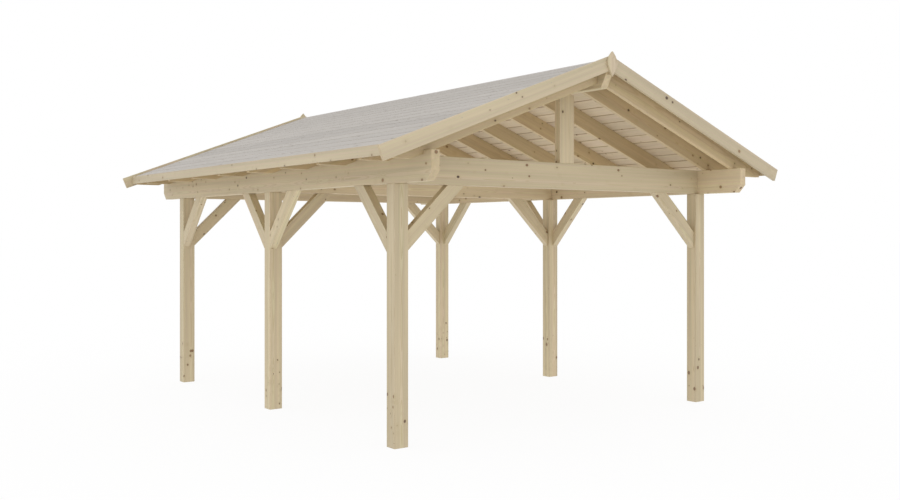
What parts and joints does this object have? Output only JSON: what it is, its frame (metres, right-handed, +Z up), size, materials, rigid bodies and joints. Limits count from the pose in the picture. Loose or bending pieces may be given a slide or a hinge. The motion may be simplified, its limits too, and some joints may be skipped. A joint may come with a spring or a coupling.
{
  "type": "timber carport",
  "caption": "Open timber carport: square posts with knee braces carry eaves beams, tie beams with king posts and a boarded gable roof with barge boards and finials.",
  "frame": {"origin": "on the ground, in the middle of the post grid", "axes": "+X across the carport to the right as seen from the front gable, +Y from the front gable to the back gable along the ridge, +Z up"},
  "size_m": [4.3, 5.836, 3.139],
  "materials": {
    "frame_timber": "planed, untreated",
    "rafters": "planed, untreated",
    "roof_boards": "planed, untreated",
    "trim_boards": "planed, untreated"
  },
  "bodies": {
    "root": {"barge_board_back_left": "trim_boards", "barge_board_back_right": "trim_boards", "barge_board_front_left": "trim_boards", "barge_board_front_right": "trim_boards", "braces_back_left": "frame_timber", "braces_back_right": "frame_timber", "braces_front_left": "frame_timber", "braces_front_right": "frame_timber", "braces_middle_left": "frame_timber", "braces_middle_right": "frame_timber", "eaves_beam_left": "frame_timber", "eaves_beam_right": "frame_timber", "eaves_fascia_left": "trim_boards", "eaves_fascia_right": "trim_boards", "finial_back": "trim_boards", "finial_front": "trim_boards", "king_post_back": "frame_timber", "king_post_front": "frame_timber", "king_post_middle": "frame_timber", "post_back_left": "frame_timber", "post_back_right": "frame_timber", "post_front_left": "frame_timber", "post_front_right": "frame_timber", "post_middle_left": "frame_timber", "post_middle_right": "frame_timber", "rafter_pair_01": "rafters", "rafter_pair_02": "rafters", "rafter_pair_03": "rafters", "rafter_pair_04": "rafters", "rafter_pair_05": "rafters", "rafter_pair_06": "rafters", "rafter_pair_07": "rafters", "rafter_pair_08": "rafters", "rafter_pair_09": "rafters", "rafter_pair_10": "rafters", "ridge_beam": "frame_timber", "roof_deck_left": "roof_boards", "roof_deck_right": "roof_boards", "tie_beam_back": "frame_timber", "tie_beam_front": "frame_timber", "tie_beam_middle": "frame_timber"}
  },
  "joints": []
}
